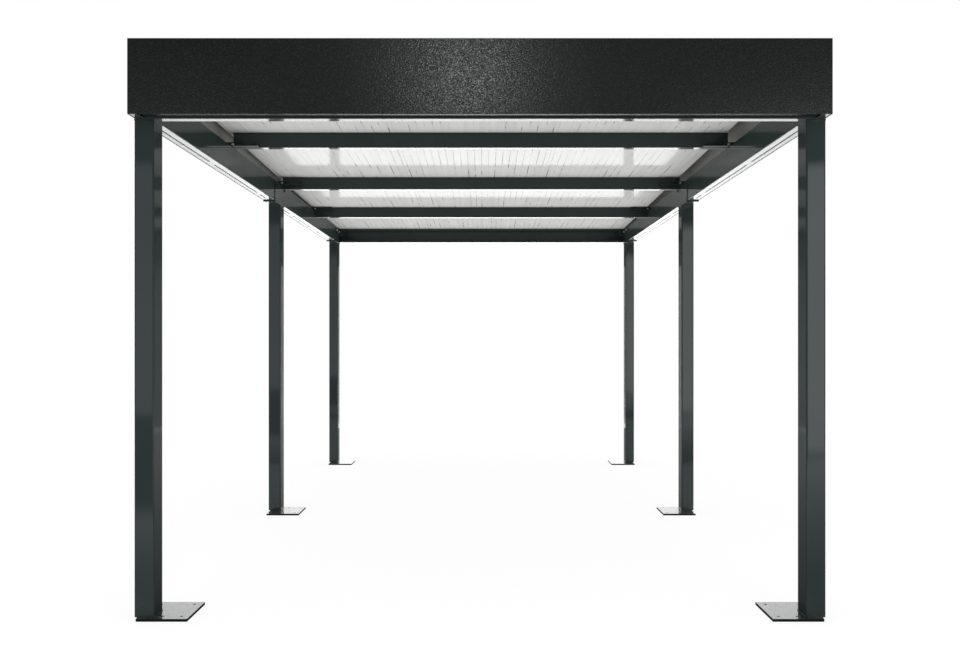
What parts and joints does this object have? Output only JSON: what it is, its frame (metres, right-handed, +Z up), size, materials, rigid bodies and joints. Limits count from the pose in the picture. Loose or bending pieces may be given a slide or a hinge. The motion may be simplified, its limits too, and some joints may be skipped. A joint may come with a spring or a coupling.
{
  "type": "carport",
  "caption": "Open flat-roof carport: steel posts on base plates, a frame of beams and purlins, a lined roof falling to the rear and a deep folded fascia.",
  "frame": {"origin": "centre of the ground plan, on the ground", "axes": "+Z up, +X to the right seen from the front, the front with the drive-in fascia faces -Y"},
  "size_m": [2.98, 5.214, 2.4799],
  "materials": {
    "frame_coating": "glossy dark green-grey powder coat",
    "plate_coating": "glossy dark green-grey powder coat, dusty on top",
    "roof_lining": "glossy off-white coil coating with fine lining grooves",
    "fascia_coating": "near-black coating with a coarse textured grain",
    "bolt_zinc": "dull zinc plating",
    "weld": "coated weld beads"
  },
  "bodies": {
    "root": {"front_left_post": "frame_coating", "front_right_post": "frame_coating", "middle_left_post": "frame_coating", "middle_right_post": "frame_coating", "rear_left_post": "frame_coating", "rear_right_post": "frame_coating", "front_left_base_plate": "plate_coating", "front_right_base_plate": "plate_coating", "middle_left_base_plate": "plate_coating", "middle_right_base_plate": "plate_coating", "rear_left_base_plate": "plate_coating", "rear_right_base_plate": "plate_coating", "front_left_top_plate": "frame_coating", "front_right_top_plate": "frame_coating", "middle_left_top_plate": "frame_coating", "middle_right_top_plate": "frame_coating", "rear_left_top_plate": "frame_coating", "rear_right_top_plate": "frame_coating", "front_left_side_beam": "frame_coating", "front_right_side_beam": "frame_coating", "rear_left_side_beam": "frame_coating", "rear_right_side_beam": "frame_coating", "front_beam": "frame_coating", "rear_beam": "frame_coating", "front_purlin": "frame_coating", "middle_purlin": "frame_coating", "rear_purlin": "frame_coating", "front_purlin_left_angle": "frame_coating", "front_purlin_right_angle": "frame_coating", "middle_purlin_left_angle": "frame_coating", "middle_purlin_right_angle": "frame_coating", "rear_purlin_left_angle": "frame_coating", "rear_purlin_right_angle": "frame_coating", "left_rear_cleat": "frame_coating", "right_rear_cleat": "frame_coating", "left_roof_panel": "roof_lining", "centre_roof_panel": "roof_lining", "right_roof_panel": "roof_lining", "front_fascia": "fascia_coating", "rear_fascia": "fascia_coating", "front_left_side_fascia": "fascia_coating", "front_right_side_fascia": "fascia_coating", "rear_left_side_fascia": "fascia_coating", "rear_right_side_fascia": "fascia_coating", "front_fascia_straps": "frame_coating", "gutter": "fascia_coating"}
  },
  "joints": []
}
